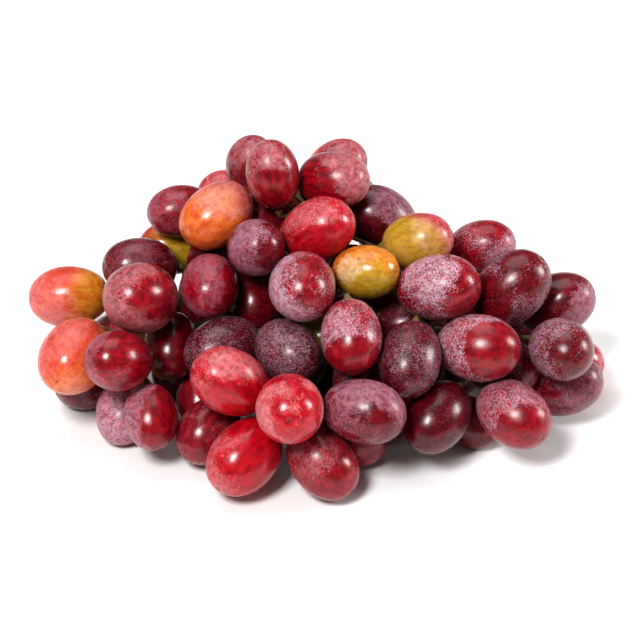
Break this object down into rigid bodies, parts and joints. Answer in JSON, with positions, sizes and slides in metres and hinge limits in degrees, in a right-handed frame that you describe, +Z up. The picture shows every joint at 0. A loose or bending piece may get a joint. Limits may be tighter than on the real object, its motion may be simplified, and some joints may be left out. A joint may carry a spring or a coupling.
{
  "type": "bunch of grapes",
  "caption": "Cut bunch of oval red table grapes lying on its back, with wide shoulders, a short tip towards the front and a branched stem hidden inside it.",
  "frame": {"origin": "centre of the bunch's box, on the surface that it lies on", "axes": "+X across the shoulders to the viewer's right, +Y from the bunch's tip towards its cut stalk, +Z up from the surface"},
  "size_m": [0.1746, 0.1226, 0.0766],
  "materials": {
    "bright_skin": "satin",
    "crimson_skin": "satin",
    "maroon_skin": "satin",
    "rose_skin": "satin",
    "orange_skin": "satin",
    "golden_skin": "satin",
    "stem_bark": "matte"
  },
  "bodies": {
    "root": {"grape_left_01": "orange_skin", "grape_left_02": "orange_skin", "grape_left_03": "crimson_skin", "grape_left_04": "rose_skin", "grape_left_05": "maroon_skin", "grape_left_06": "crimson_skin", "grape_left_07": "rose_skin", "grape_left_08": "maroon_skin", "grape_left_09": "golden_skin", "grape_left_10": "maroon_skin", "grape_crown_01": "crimson_skin", "grape_crown_02": "orange_skin", "grape_crown_03": "rose_skin", "grape_crown_04": "rose_skin", "grape_crown_05": "rose_skin", "grape_crown_06": "golden_skin", "grape_crown_07": "maroon_skin", "grape_crown_08": "maroon_skin", "grape_crown_09": "maroon_skin", "grape_crown_10": "rose_skin", "grape_crown_11": "crimson_skin", "grape_crown_12": "crimson_skin", "grape_crown_13": "maroon_skin", "grape_crown_14": "golden_skin", "grape_middle_01": "crimson_skin", "grape_middle_02": "rose_skin", "grape_middle_03": "maroon_skin", "grape_middle_04": "maroon_skin", "grape_middle_05": "golden_skin", "grape_middle_06": "maroon_skin", "grape_middle_07": "orange_skin", "grape_middle_08": "crimson_skin", "grape_middle_09": "maroon_skin", "grape_middle_10": "maroon_skin", "grape_front_01": "bright_skin", "grape_front_02": "bright_skin", "grape_front_03": "bright_skin", "grape_front_04": "rose_skin", "grape_front_05": "crimson_skin", "grape_front_06": "crimson_skin", "grape_front_07": "crimson_skin", "grape_right_01": "crimson_skin", "grape_right_02": "maroon_skin", "grape_right_03": "crimson_skin", "grape_right_04": "crimson_skin", "grape_right_05": "crimson_skin", "grape_right_06": "crimson_skin", "grape_right_07": "rose_skin", "grape_right_08": "bright_skin", "grape_right_09": "rose_skin", "grape_right_10": "bright_skin", "grape_right_11": "maroon_skin", "grape_right_12": "maroon_skin", "grapes_back_left": "maroon_skin", "grapes_back_middle": "crimson_skin", "grapes_back_right": "crimson_skin", "grapes_upper_back": "rose_skin", "grapes_inner_left": "maroon_skin", "grapes_inner_right": "maroon_skin", "stem": "stem_bark"}
  },
  "joints": []
}
